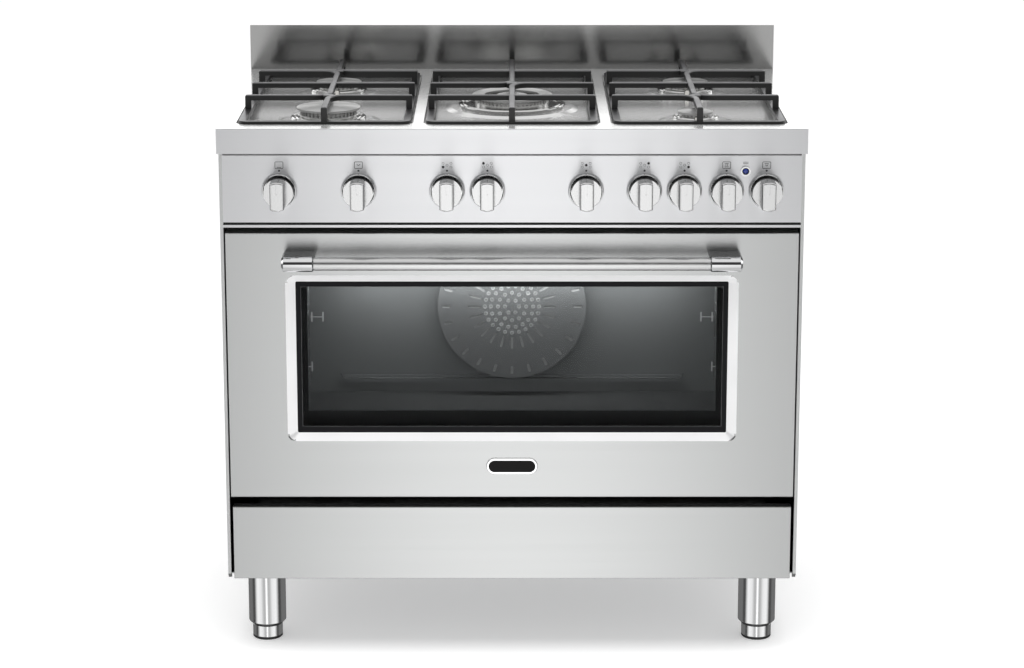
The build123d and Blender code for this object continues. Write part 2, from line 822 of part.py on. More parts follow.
# Burner cups, flame crowns and caps
cup_top = well_floor + dome_rise + cup_flange
with BuildPart() as burner_bases:
    for (x, y), cup_radius in zip(cup_places, cup_radii):
        rod((x, y, well_floor + dome_rise), "z", cup_radius, cup_flange)
        rod((x, y, cup_bottom), "z", cup_body, cup_drop + dome_rise)
        with Locations((x, y, cup_top - cup_bead_low)):
            for bead_in in cup_beads_in:
                Torus(cup_radius - bead_in, cup_bead)
save(burner_bases, "burner_bases")

crown_list = [(x, y, radius - cap_overhang, 0, top) for x, y, radius, top in hob_places]
crown_list.append((0, wok_y, wok_radius - cap_overhang, wok_radius - wok_ring + cap_overhang, wok_top))
crown_list.append((0, wok_y, wok_inner_radius - cap_overhang, 0, wok_top))
with BuildPart() as flame_crowns:
    for x, y, radius, hollow, top in crown_list:
        crown_top = hob_height + top - cap_thickness
        rod((x, y, cup_top), "z", radius, crown_top - cup_top)
        inside = hollow if hollow else radius - crown_wall
        rod((x, y, cup_top), "z", inside, crown_top - cup_top, Mode.SUBTRACT)
        with BuildSketch(Plane.XY.offset(crown_top)):
            with Locations((x, y)):
                with PolarLocations(radius, round(2 * pi * radius / tooth_pitch)):
                    Rectangle(2 * tooth_depth, tooth_width)
        extrude(amount=-tooth_share * (crown_top - cup_top), mode=Mode.SUBTRACT)
save(flame_crowns, "flame_crowns")

with BuildPart() as burner_caps:
    for x, y, radius, top in hob_places + [(0, wok_y, wok_inner_radius, wok_top)]:
        with BuildSketch(Plane((x, y, hob_height + top), x_dir=(1, 0, 0), z_dir=(0, -1, 0))):
            with BuildLine():
                Polyline((0, 0), (0, -cap_thickness), (radius, -cap_thickness), (radius, -cap_thickness / 2))
                TangentArc((0, 0), (radius, -cap_thickness / 2), tangent=(1, 0))
            make_face()
        revolve(axis=Axis((x, y, 0), (0, 0, 1)))
    wok_cap_z = hob_height + wok_top
    with BuildSketch(Plane((0, wok_y, wok_cap_z), x_dir=(1, 0, 0), z_dir=(0, -1, 0))):
        with BuildLine():
            Polyline((wok_radius - wok_ring, -cap_thickness), (wok_radius, -cap_thickness),
                     (wok_radius, -cap_thickness / 2))
            ThreePointArc((wok_radius, -cap_thickness / 2), (wok_radius - wok_ring / 2, 0),
                          (wok_radius - wok_ring, -cap_thickness / 2))
            Line((wok_radius - wok_ring, -cap_thickness / 2), (wok_radius - wok_ring, -cap_thickness))
        make_face()
    revolve(axis=Axis((0, wok_y, 0), (0, 0, 1)))
save(burner_caps, "burner_caps")

# Spark igniters beside the cups
with BuildPart() as igniters:
    for (x, y), cup_radius in zip(cup_places, cup_radii):
        rod((x, y - cup_radius - igniter_offset, well_floor + dome_rise), "z", igniter_radius, igniter_height)
save(igniters, "igniters")

# Pan supports: a rim, raised bars on posts, and bent bars that run on as the long finger
bar_z = hob_height + grate_top - grate_bar_height
rim_z = hob_height + grate_rim_rise - grate_rim_height
grate_half = well_width / 2 - grate_gap
grate_front = hob_front + well_front + grate_gap
grate_back = hob_front + well_front + well_depth_along - grate_gap
bar_end = grate_half - grate_rim / 2
tip_front = grate_front + grate_rim / 2
tip_back = grate_back - grate_rim / 2
for column, grate_name in ((-1, "left"), (0, "centre"), (1, "right")):
    centre_x = column * well_pitch
    flip = -1 if column == 1 else 1
    near = centre_x - flip * bar_end
    far = centre_x + flip * bar_end
    if column:
        bent_bars = [
            [(near, rear_bar), (centre_x, rear_bar), (centre_x, front_bar), (near, front_bar)],
            [(far, rear_bar), (centre_x, rear_bar), (centre_x, tip_back)],
            [(far, front_bar), (centre_x, front_bar), (centre_x, tip_front)],
        ]
        straight_bars = [middle_bar]
        webs = [front_bar, rear_bar]
    else:
        bent_bars = [
            [(near, middle_bar), (centre_x, middle_bar), (centre_x, tip_back)],
            [(far, middle_bar), (centre_x, middle_bar), (centre_x, tip_front)],
        ]
        straight_bars = [front_bar, rear_bar]
        webs = [middle_bar]
    with BuildPart() as bars:
        for points in bent_bars:
            with BuildSketch(Plane.XY.offset(bar_z)):
                with BuildLine():
                    FilletPolyline(*points, radius=grate_bend)
                trace(line_width=grate_bar)
            extrude(amount=grate_bar_height)
        for y in straight_bars:
            block(near, far, y - grate_bar / 2, y + grate_bar / 2, bar_z, bar_z + grate_bar_height)
        for y in webs:
            rod((centre_x, y, bar_z), "z", grate_web, grate_bar_height)
        for x in (near, far):
            for y in (front_bar, middle_bar, rear_bar):
                block(x - grate_bar / 2, x + grate_bar / 2, y - grate_bar / 2, y + grate_bar / 2,
                      bar_z, bar_z + grate_bar_height)
        for y in (tip_front, tip_back):
            block(centre_x - grate_bar / 2, centre_x + grate_bar / 2, y - grate_bar / 2, y + grate_bar / 2,
                  bar_z, bar_z + grate_bar_height)
        fillet(bars.faces().sort_by(Axis.Z)[-1].edges(), radius=grate_round)
    with BuildPart() as grate:
        add(bars.part)
        with BuildSketch(Plane.XY.offset(rim_z)):
            with Locations((centre_x, (grate_front + grate_back) / 2)):
                RectangleRounded(2 * grate_half, grate_back - grate_front, well_corner - grate_gap)
                Rectangle(2 * (grate_half - grate_rim), grate_back - grate_front - 2 * grate_rim,
                          mode=Mode.SUBTRACT)
        extrude(amount=grate_rim_height)
        post_top = bar_z + grate_bar_height / 2
        for x in (near, far):
            for y in (front_bar, middle_bar, rear_bar):
                block(x - grate_bar / 2, x + grate_bar / 2, y - grate_bar / 2, y + grate_bar / 2,
                      rim_z, post_top)
            for y in (grate_front + grate_foot_inset, grate_back - grate_foot_inset):
                inward = grate_foot_radius if x < centre_x else -grate_foot_radius
                rod((x + inward, y, well_floor), "z", grate_foot_radius, rim_z - well_floor)
        for y in (tip_front, tip_back):
            block(centre_x - grate_bar / 2, centre_x + grate_bar / 2, y - grate_bar / 2, y + grate_bar / 2,
                  rim_z, post_top)
    save(grate, f"pan_support_{grate_name}")

# Door: outer panel with a bevelled window
window_inner_width = window_width - 2 * window_bevel_x
window_inner_height = window_height - 2 * window_bevel_z
arm_slot = arm_thickness / 2 + arm_gap
with BuildPart() as door_panel:
    block(-door_half, door_half, face_y, door_rear - sheet, door_bottom, door_top)
    fillet(door_panel.faces().sort_by(Axis.Y)[0].edges(), radius=edge_round)
    block(-door_half + sheet, door_half - sheet, face_y + sheet, door_rear - sheet,
          door_bottom + sheet, door_top - sheet, Mode.SUBTRACT)
    with BuildSketch(front_plane(face_y + sheet / 2)):
        with Locations((0, window_z)):
            RectangleRounded(window_width + 2 * sheet, window_height + 2 * sheet, window_corner + sheet)
    with BuildSketch(front_plane(face_y + window_depth)):
        with Locations((0, window_z)):
            RectangleRounded(window_inner_width + 2 * sheet, window_inner_height + 2 * sheet,
                             window_inner_corner + sheet)
    loft()
    with BuildSketch(front_plane(face_y)):
        with Locations((0, window_z)):
            RectangleRounded(window_width, window_height, window_corner)
    with BuildSketch(front_plane(face_y + window_depth)):
        with Locations((0, window_z)):
            RectangleRounded(window_inner_width, window_inner_height, window_inner_corner)
    loft(mode=Mode.SUBTRACT)
    for side in (-1, 1):
        block(side * hinge_x - arm_slot, side * hinge_x + arm_slot, hinge_y - arm_half_height - arm_gap,
              door_rear, door_bottom, door_bottom + sheet, Mode.SUBTRACT)
save(door_panel, "door_panel")

# Door liner closing the rear, with the hinge arms' slots
with BuildPart() as door_liner:
    block(-door_half, door_half, door_rear - sheet, door_rear, door_bottom, door_top)
    with BuildSketch(front_plane(door_rear)):
        with Locations((0, window_z)):
            RectangleRounded(window_inner_width, window_inner_height, window_inner_corner)
    extrude(amount=sheet, mode=Mode.SUBTRACT)
    for side in (-1, 1):
        block(side * hinge_x - arm_slot, side * hinge_x + arm_slot, door_rear - sheet, door_rear,
              door_bottom, hinge_z + arm_half_height + arm_gap, Mode.SUBTRACT)
save(door_liner, "door_liner")

# Door glass: one pane behind the bevel, one against the liner
glass_places = {"outer": face_y + window_depth, "inner": door_rear - sheet - glass_thickness}
for name, y in glass_places.items():
    with BuildPart() as glass:
        with BuildSketch(front_plane(y)):
            with Locations((0, window_z)):
                RectangleRounded(window_inner_width + 2 * glass_overlap,
                                 window_inner_height + 2 * glass_overlap, window_inner_corner)
        extrude(amount=-glass_thickness)
    save(glass, f"door_glass_{name}")

# Handle bar in its two brackets
bar_y = face_y - handle_standoff
bracket_inner = handle_half - bracket_width
with BuildPart() as handle_bar:
    bar_half = bracket_inner + bar_into_bracket
    rod((-bar_half, bar_y, handle_z), "x", handle_radius, 2 * bar_half)
save(handle_bar, "door_handle_bar")

with BuildPart() as handle_brackets:
    for side in (-1, 1):
        start = bracket_inner if side == 1 else -handle_half
        with BuildSketch(Plane.YZ.offset(start)):
            with Locations(((bar_y + face_y) / 2, handle_z)):
                Rectangle(handle_standoff, bracket_height)
            with Locations((bar_y, handle_z)):
                Circle(bracket_height / 2)
        extrude(amount=bracket_width)
    end_faces = handle_brackets.faces().filter_by(Axis.X)
    end_edges = [edge for edge in end_faces.edges() if edge.center().Y < face_y - bracket_chamfer]
    chamfer(end_edges, length=bracket_chamfer)
    for side in (-1, 1):
        start = bracket_inner if side == 1 else -bracket_inner - bar_into_bracket
        rod((start, bar_y, handle_z), "x", handle_radius + fit_gap, bar_into_bracket, Mode.SUBTRACT)
save(handle_brackets, "door_handle_brackets")

# Blank pill badge
with BuildPart() as door_badge:
    with BuildSketch(front_plane(face_y)):
        with Locations((0, badge_z)):
            SlotOverall(badge_width, badge_height)
    extrude(amount=badge_thickness)
    chamfer(door_badge.faces().sort_by(Axis.Y)[0].edges(), length=badge_chamfer)
    with BuildSketch(front_plane(face_y - badge_thickness)):
        with Locations((0, badge_z)):
            SlotOverall(badge_width - 2 * badge_rim, badge_height - 2 * badge_rim)
    extrude(amount=-badge_recess, mode=Mode.SUBTRACT)
save(door_badge, "door_badge")

# Hinge arms on the front frame with their pins, and hinge boxes in the door
with BuildPart() as hinge_arms:
    for side in (-1, 1):
        x = side * hinge_x
        block(x - arm_thickness / 2, x + arm_thickness / 2, hinge_y, frame_y,
              hinge_z - arm_half_height, hinge_z + arm_half_height)
        rod((x - arm_thickness / 2, hinge_y, hinge_z), "x", arm_half_height, arm_thickness)
        pin_half = arm_slot + cheek
        rod((x - pin_half, hinge_y, hinge_z), "x", hinge_pin_radius, 2 * pin_half)
save(hinge_arms, "hinge_arms")

with BuildPart() as hinge_boxes:
    for side in (-1, 1):
        x = side * hinge_x
        outer = arm_slot + cheek
        low = door_bottom + 2 * sheet
        block(x - outer, x + outer, face_y + sheet, door_rear - 2 * sheet, low, low + hinge_box_height)
        block(x - arm_slot, x + arm_slot, face_y + sheet + cheek, door_rear, low, low + hinge_box_height,
              Mode.SUBTRACT)
        rod((x - outer, hinge_y, hinge_z), "x", hinge_pin_radius + fit_gap, 2 * outer, Mode.SUBTRACT)
save(hinge_boxes, "door_hinge_boxes")

# Storage flap, its lower return cut back to clear the ears
with BuildPart() as flap:
    block(-flap_half, flap_half, face_y, face_y + flap_depth, body_bottom, flap_top)
    fillet(flap.faces().sort_by(Axis.Y)[0].edges(), radius=edge_round)
    block(-flap_half + flap_sheet, flap_half - flap_sheet, face_y + flap_sheet, face_y + flap_depth,
          body_bottom + flap_sheet, flap_top - flap_sheet, Mode.SUBTRACT)
    for side in (-1, 1):
        block(side * (ear_outer - ear_thickness - ear_slot), side * (flap_half - flap_sheet),
              face_y + flap_sheet, face_y + flap_depth, body_bottom, body_bottom + flap_sheet, Mode.SUBTRACT)
    rod((-flap_half, flap_y, flap_z), "x", flap_pin_radius + fit_gap, 2 * flap_half, Mode.SUBTRACT)
save(flap, "storage_flap")

# Terminal box on the back panel with a cable gland underneath
with BuildPart() as terminal_box:
    half = terminal_width / 2
    box_y = back_y + terminal_depth
    block(terminal_x - half, terminal_x + half, back_y, box_y, terminal_z, terminal_z + terminal_height)
    block(terminal_x - half + terminal_wall, terminal_x + half - terminal_wall, back_y, box_y - terminal_wall,
          terminal_z + terminal_wall, terminal_z + terminal_height - terminal_wall, Mode.SUBTRACT)
    gland_y = back_y + terminal_depth / 2
    rod((terminal_x, gland_y, terminal_z - gland_length), "z", gland_radius, gland_length)
    rod((terminal_x, gland_y, terminal_z - gland_length), "z", gland_bore, gland_length + terminal_wall,
        Mode.SUBTRACT)
save(terminal_box, "terminal_box")
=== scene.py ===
"""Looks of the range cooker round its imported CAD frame: finishes, printed signs, fixings, light and camera.

Metres, +Z up, front towards -Y, in the frame's own coordinates.
"""

import math

import bpy
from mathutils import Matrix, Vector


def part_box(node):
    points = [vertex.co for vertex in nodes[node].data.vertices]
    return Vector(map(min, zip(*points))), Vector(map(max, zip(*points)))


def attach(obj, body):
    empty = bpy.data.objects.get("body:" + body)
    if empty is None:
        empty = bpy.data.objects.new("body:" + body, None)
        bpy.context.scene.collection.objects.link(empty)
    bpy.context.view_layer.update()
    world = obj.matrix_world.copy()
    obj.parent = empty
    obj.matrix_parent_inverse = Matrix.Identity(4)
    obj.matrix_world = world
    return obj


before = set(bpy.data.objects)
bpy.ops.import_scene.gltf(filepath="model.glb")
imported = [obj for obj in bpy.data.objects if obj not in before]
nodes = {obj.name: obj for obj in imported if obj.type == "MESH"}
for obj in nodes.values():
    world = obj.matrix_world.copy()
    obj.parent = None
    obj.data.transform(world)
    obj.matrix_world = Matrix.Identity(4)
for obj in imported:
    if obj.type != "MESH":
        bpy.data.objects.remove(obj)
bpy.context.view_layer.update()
scene = bpy.context.scene
finishes = {}
MM = 0.001


# Shader building

NOISE_ROUGHNESS = 0.55
# Most values of a noise lie between these
NOISE_LOW = 0.3
NOISE_HIGH = 0.7


def feed(tree, target, inputs):
    """Give a node's inputs their values, or link them to outputs of other nodes."""
    for place, value in inputs.items():
        if isinstance(value, bpy.types.NodeSocket):
            tree.links.new(value, target.inputs[place])
        else:
            target.inputs[place].default_value = value


def node(tree, kind, inputs=None, **settings):
    """New shader node with its settings and inputs."""
    made = tree.nodes.new(kind)
    for key, value in settings.items():
        setattr(made, key, value)
    feed(tree, made, inputs or {})
    return made


def new_material(name):
    """New principled material, kept as a finish; gives its node tree and shader."""
    material = bpy.data.materials.new(name)
    material.use_nodes = True
    finishes[name] = material
    tree = material.node_tree
    return tree, tree.nodes["Principled BSDF"]


def math_node(tree, operation, first, second=0.0):
    """Math node on two sockets or numbers; gives its output."""
    return node(tree, "ShaderNodeMath", {0: first, 1: second}, operation=operation).outputs[0]


def blend(tree, factor, first, second):
    """Value going from the first to the second with the factor."""
    kept = math_node(tree, "MULTIPLY", first, math_node(tree, "SUBTRACT", 1.0, factor))
    return math_node(tree, "ADD", kept, math_node(tree, "MULTIPLY", factor, second))


def distance(tree, first, second):
    """Distance from zero of a point with two coordinates."""
    squares = [math_node(tree, "MULTIPLY", value, value) for value in (first, second)]
    return math_node(tree, "SQRT", math_node(tree, "ADD", *squares))


def ramp_between(tree, value, low, high, at_low=0.0, at_high=1.0):
    """Smooth step of a value between two limits."""
    limits = {"From Min": low, "From Max": high, "To Min": at_low, "To Max": at_high}
    made = node(tree, "ShaderNodeMapRange", {"Value": value, **limits}, interpolation_type="SMOOTHSTEP")
    return made.outputs["Result"]


def edge(tree, value, place, soft, before=0.0, after=1.0):
    """Step of a value at a place, softened a little to both sides."""
    return ramp_between(tree, value, place - soft, place + soft, before, after)


def uneven_gloss(tree, value, low, high):
    """Roughness that goes from low to high with a noise."""
    return ramp_between(tree, value, NOISE_LOW, NOISE_HIGH, low, high)


def mix_color(tree, factor, first, second):
    """Mix of two colours, each a socket or a tuple; gives the output."""
    made = node(tree, "ShaderNodeMix", {"Factor": factor}, data_type="RGBA")
    places = [place for place, socket in enumerate(made.inputs) if socket.type == "RGBA"]
    feed(tree, made, dict(zip(places, (first, second))))
    return [socket for socket in made.outputs if socket.type == "RGBA"][0]


def shade(color, factor):
    """Colour times a factor, with full alpha."""
    return tuple(min(1.0, part * factor) for part in color) + (1.0,)


def varied(tree, factor, color, contrast):
    """Colour going from a little darker to a little lighter with the factor."""
    return mix_color(tree, factor, shade(color, 1 - contrast), shade(color, 1 + contrast))


def axes(tree, coordinates="Object"):
    """The X, Y and Z outputs of a point in the piece's own coordinates, or in those named."""
    place = node(tree, "ShaderNodeTexCoord")
    split = node(tree, "ShaderNodeSeparateXYZ", {"Vector": place.outputs[coordinates]})
    return [split.outputs[axis] for axis in "XYZ"]


def noise(tree, scale, detail, stretch=(1, 1, 1)):
    """Noise over the piece's own coordinates, stretched along the axes; gives its value."""
    place = node(tree, "ShaderNodeTexCoord")
    mapping = node(tree, "ShaderNodeMapping", {"Vector": place.outputs["Object"], "Scale": stretch})
    grain = {"Scale": scale, "Detail": detail, "Roughness": NOISE_ROUGHNESS}
    made = node(tree, "ShaderNodeTexNoise", {"Vector": mapping.outputs["Vector"], **grain})
    return made.outputs["Fac"]


def bump(tree, shader, height, strength, depth):
    """Fine relief on a shader's normal."""
    made = node(tree, "ShaderNodeBump", {"Height": height, "Strength": strength, "Distance": depth})
    feed(tree, shader, {"Normal": made.outputs["Normal"]})


# Kinds of finish

AXIS = {"x": (1, 0, 0), "y": (0, 1, 0), "z": (0, 0, 1)}
# Noise scales across and along the brushing, for its fine lines and for its wider bands
BRUSH_LINES = (900, 1.5)
BRUSH_BANDS = (60, 1)
BAND_SHARE = 0.4
BRUSH_DEPTH = 0.05 * MM
QUARTER_TURN = 0.25
GRAIN_DEPTH = 0.06 * MM
GLOSS_WEAR = 0.15
PRINT_SOFT = 0.25 * MM
PANE_IOR = 1.1
PANE_ROUGHNESS = (0.004, 0.012)
BLACK_EDGE_SOFT = 0.2 * MM
RING_SOFT = 0.15 * MM

STEEL = (0.72, 0.73, 0.725)
DOOR_STEEL = (0.65, 0.658, 0.655)
PANEL_STEEL = (0.95, 0.955, 0.97)
BRIGHT_STEEL = (0.82, 0.82, 0.82)
HOB_STEEL = (0.86, 0.86, 0.855)
CHROME = (0.9, 0.905, 0.91)
BLACK = (0.012, 0.012, 0.013)
JEWEL_BLUE = (0.012, 0.03, 0.2)


def streaks(tree, along, scales, detail):
    """Noise drawn out along one axis; gives its value."""
    across, lengthwise = scales
    stretch = tuple(lengthwise if part else across for part in AXIS[along])
    return noise(tree, 1.0, detail, stretch)


def brushed_metal(name, color, roughness, along="x", spread=0.7, contrast=0.05, relief=0.05, metallic=1.0,
                  uneven=0.012):
    """Metal brushed along one axis: fine lines in colour, gloss and relief, and stretched reflections."""
    tree, shader = new_material(name)
    lines = streaks(tree, along, BRUSH_LINES, detail=2.0)
    bands = streaks(tree, along, BRUSH_BANDS, detail=3.0)
    both = blend(tree, BAND_SHARE, lines, bands)
    tangent = node(tree, "ShaderNodeCombineXYZ", dict(enumerate(AXIS[along])))
    feed(tree, shader, {
        "Base Color": varied(tree, both, color, contrast),
        "Roughness": uneven_gloss(tree, both, roughness - uneven, roughness + uneven),
        "Metallic": metallic,
        "Anisotropic": spread,
        "Anisotropic Rotation": QUARTER_TURN,
        "Tangent": tangent.outputs["Vector"],
    })
    bump(tree, shader, lines, relief, BRUSH_DEPTH)


def cast_metal(name, color, roughness, grain=900.0, relief=0.15, metallic=1.0, contrast=0.06, cloud=18.0):
    """Cast, plated or machined surface with a fine even grain; gives its shader."""
    tree, shader = new_material(name)
    grains = noise(tree, grain, detail=4.0)
    wear = noise(tree, cloud, detail=4.0)
    feed(tree, shader, {
        "Base Color": varied(tree, wear, color, contrast),
        "Roughness": uneven_gloss(tree, wear, roughness * (1 - GLOSS_WEAR), roughness * (1 + GLOSS_WEAR)),
        "Metallic": metallic,
    })
    bump(tree, shader, grains, relief, GRAIN_DEPTH)
    return shader


def coating(name, color, roughness, grain=1400.0, relief=0.08, specular=0.5, contrast=0.1):
    """Enamel, paint, plastic or rubber: fine grain and slightly uneven gloss."""
    shader = cast_metal(name, color, roughness, grain, relief, metallic=0.0, contrast=contrast)
    shader.inputs["Specular IOR Level"].default_value = specular


def inside_box(tree, half_x, low_z, high_z):
    """1 inside an upright rectangle of the piece's own coordinates, 0 outside."""
    x, _, z = axes(tree)
    between = edge(tree, math_node(tree, "ABSOLUTE", x), half_x, PRINT_SOFT, 1.0, 0.0)
    above = edge(tree, z, low_z, PRINT_SOFT)
    below = edge(tree, z, high_z, PRINT_SOFT, 1.0, 0.0)
    return math_node(tree, "MULTIPLY", between, math_node(tree, "MULTIPLY", above, below))


def printed_glass(name, pane, side, lower, upper, tint, print_color):
    """Clear pane with an opaque printed border, given by its widths at the sides, below and above."""
    tree, shader = new_material(name)
    low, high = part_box(pane)
    clear = inside_box(tree, high.x - side, low.z + lower, high.z - upper)
    haze = noise(tree, scale=9.0, detail=4.0)
    feed(tree, shader, {
        "Base Color": mix_color(tree, clear, print_color + (1.0,), tint + (1.0,)),
        "Roughness": uneven_gloss(tree, haze, *PANE_ROUGHNESS),
        "Transmission Weight": clear,
        "IOR": PANE_IOR,
    })


def black_to_chrome(tree, shader, share, chrome, black_rough, chrome_rough):
    """Black where the share is 0, chrome where it is 1."""
    feed(tree, shader, {
        "Base Color": mix_color(tree, share, BLACK + (1.0,), chrome),
        "Roughness": ramp_between(tree, share, 0.0, 1.0, black_rough, chrome_rough),
        "Metallic": share,
    })


def tube_black_below(name, black_top, black_rough, chrome_rough):
    """Chrome tube, black below a height."""
    tree, shader = new_material(name)
    upper = edge(tree, axes(tree)[2], black_top, BLACK_EDGE_SOFT)
    lines = streaks(tree, "z", BRUSH_LINES, detail=2.0)
    chrome = varied(tree, lines, CHROME, contrast=0.05)
    black_to_chrome(tree, shader, upper, chrome, black_rough, chrome_rough)


def ringed_bezel(name, middle_x, middle_z, radius, black_rough, chrome_rough):
    """Chrome bezel, black inside a radius about a point of the panel."""
    tree, shader = new_material(name)
    x, _, z = axes(tree)
    aside = math_node(tree, "SUBTRACT", x, middle_x)
    upward = math_node(tree, "SUBTRACT", z, middle_z)
    outer = edge(tree, distance(tree, aside, upward), radius, RING_SOFT)
    wear = noise(tree, scale=300.0, detail=2.0)
    chrome = varied(tree, wear, CHROME, contrast=0.04)
    black_to_chrome(tree, shader, outer, chrome, black_rough, chrome_rough)


def cut_glass(name, facets, dark, light, inputs):
    """Ribbed or faceted glass, whose colour goes between two tones."""
    tree, shader = new_material(name)
    grain = noise(tree, facets, detail=1.0)
    feed(tree, shader, {"Base Color": mix_color(tree, grain, dark, light), **inputs})


# Finishes

LEG_BLACK_HEIGHT = 4.8 * MM
FOOT_BLACK_HEIGHT = 5 * MM
NO_BORDER = -1 * MM
lamp_low, lamp_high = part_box("indicator_lamp")
lamp_x = (lamp_low.x + lamp_high.x) / 2
lamp_z = (lamp_low.z + lamp_high.z) / 2
LAMP_BLACK = 5.4 * MM

brushed_metal("door_steel", DOOR_STEEL, 0.24, contrast=0.015, relief=0.006)
brushed_metal("panel_steel", PANEL_STEEL, 0.29, spread=0.94, contrast=0.02, relief=0.008)
brushed_metal("side_steel", STEEL, 0.34, along="y")
brushed_metal("hob_steel", HOB_STEEL, 0.2, spread=0.3, contrast=0.004, relief=0.0005,
              metallic=0.74, uneven=0.004)
# Paler copy of the hob steel for the hob's flat top faces: painted light from above
brushed_metal("hob_painted_light", (0.95, 0.95, 0.945), 0.22, spread=0.3, contrast=0.005, relief=0.0005,
              metallic=0.72, uneven=0.004)
brushed_metal("splash_steel", (0.46, 0.46, 0.455), 0.14, relief=0.02)
brushed_metal("bar_steel", BRIGHT_STEEL, 0.26, contrast=0.03)
brushed_metal("knob_metal", BRIGHT_STEEL, 0.2, along="z", spread=0.4)
# Dark copy of the knob metal for the grip's flanks: painted shade
brushed_metal("knob_flank_painted_shade", (0.2, 0.2, 0.205), 0.25, along="z", spread=0.3)

# Paler, partly matt copy of the steel: painted light on the door's window bevel, painted highlight along the
# panel's top edge
cast_metal("pale_steel_painted_light", (0.95, 0.95, 0.955), 0.34, relief=0.02, metallic=0.45, contrast=0.02)
# Near black for the knob's skirt inside its bezel: painted shade
cast_metal("knob_skirt_painted_shade", (0.05, 0.05, 0.052), 0.22, relief=0.05)
cast_metal("chrome", CHROME, 0.05, relief=0.005, contrast=0.01)
cast_metal("wire", CHROME, 0.18, relief=0.02, contrast=0.02)
cast_metal("galvanised", (0.55, 0.56, 0.57), 0.42, grain=90.0, relief=0.05, contrast=0.1, cloud=75.0)
cast_metal("box_steel", (0.5, 0.5, 0.51), 0.4, relief=0.05)
cast_metal("aluminium", (0.7, 0.7, 0.69), 0.38, relief=0.2)
cast_metal("cup_metal", (0.84, 0.84, 0.83), 0.12, relief=0.02, contrast=0.03)
cast_metal("crown_metal", (0.72, 0.72, 0.71), 0.22, relief=0.05)
cast_metal("cap_metal", (0.48, 0.48, 0.475), 0.34, relief=0.05, metallic=0.6)
cast_metal("brass", (0.72, 0.52, 0.22), 0.28)
cast_metal("element", (0.16, 0.15, 0.14), 0.5, contrast=0.25)
# Paler metal for the tops of the pan supports: painted light from above
cast_metal("iron_lit_top", (0.2, 0.2, 0.205), 0.36, grain=700.0, relief=0.1, contrast=0.1)

coating("iron", (0.014, 0.014, 0.014), 0.33, grain=700.0, relief=0.2, contrast=0.2)
coating("black_enamel", (0.012, 0.012, 0.012), 0.35)
coating("oven_enamel", (0.125, 0.128, 0.13), 0.4, relief=0.02, specular=0.2, contrast=0.02)
# Darker copy of the oven enamel for its floor: painted shade
coating("oven_floor_painted_shade", (0.052, 0.053, 0.054), 0.5, relief=0.02, specular=0.1, contrast=0.02)
# A little darker than the oven enamel: painted shade, so the fan cover blends with the shaded wall below it
coating("cover_enamel_painted_shade", (0.116, 0.118, 0.12), 0.45, relief=0.02, specular=0.15, contrast=0.02)
# Pale enamel for the disc behind the fan cover: painted light seen through its holes
coating("hole_backing_painted_light", (0.3, 0.3, 0.3), 0.5, grain=500.0, relief=0.3, contrast=0.05)
# Pale enamel: painted glints on the rims round the fan cover's holes and on the hooks beside the shelf wires
coating("glint_enamel", (0.5, 0.5, 0.5), 0.35, relief=0.02, contrast=0.04)
coating("mineral_wool", (0.55, 0.47, 0.27), 0.95, grain=260.0, relief=0.9, specular=0.1, contrast=0.3)
coating("rubber", (0.03, 0.03, 0.03), 0.65, relief=0.2, specular=0.3)
coating("plastic", (0.02, 0.02, 0.021), 0.45)
coating("ceramic", (0.8, 0.78, 0.74), 0.25, relief=0.03, contrast=0.04)
coating("badge_black", (0.01, 0.01, 0.01), 0.3, relief=0.02, specular=0.08)
coating("print_black", (0.01, 0.01, 0.012), 0.5, relief=0.02)

tube_black_below("leg_steel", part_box("leg_tubes")[0].z + LEG_BLACK_HEIGHT, black_rough=0.4, chrome_rough=0.14)
tube_black_below("foot_steel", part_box("foot_front_left")[0].z + FOOT_BLACK_HEIGHT, black_rough=0.5, chrome_rough=0.16)
ringed_bezel("lamp_bezel", lamp_x, lamp_z, LAMP_BLACK, black_rough=0.3, chrome_rough=0.12)

printed_glass("outer_glass", "door_glass_outer", side=18 * MM, lower=20 * MM, upper=18.5 * MM,
              tint=(0.8, 0.82, 0.82), print_color=BLACK)
printed_glass("inner_glass", "door_glass_inner", side=26 * MM, lower=38 * MM, upper=NO_BORDER,
              tint=(0.85, 0.86, 0.86), print_color=(0.02, 0.02, 0.021))
cut_glass("blue_jewel", 420.0, shade(JEWEL_BLUE, 0.35), shade(JEWEL_BLUE, 1.6),
          {"Roughness": 0.06, "Coat Weight": 1.0})
cut_glass("lamp_glass", 300.0, (0.85, 0.85, 0.8, 1), (0.95, 0.95, 0.92, 1),
          {"Roughness": 0.08, "Transmission Weight": 0.7})


# Main finish of each node

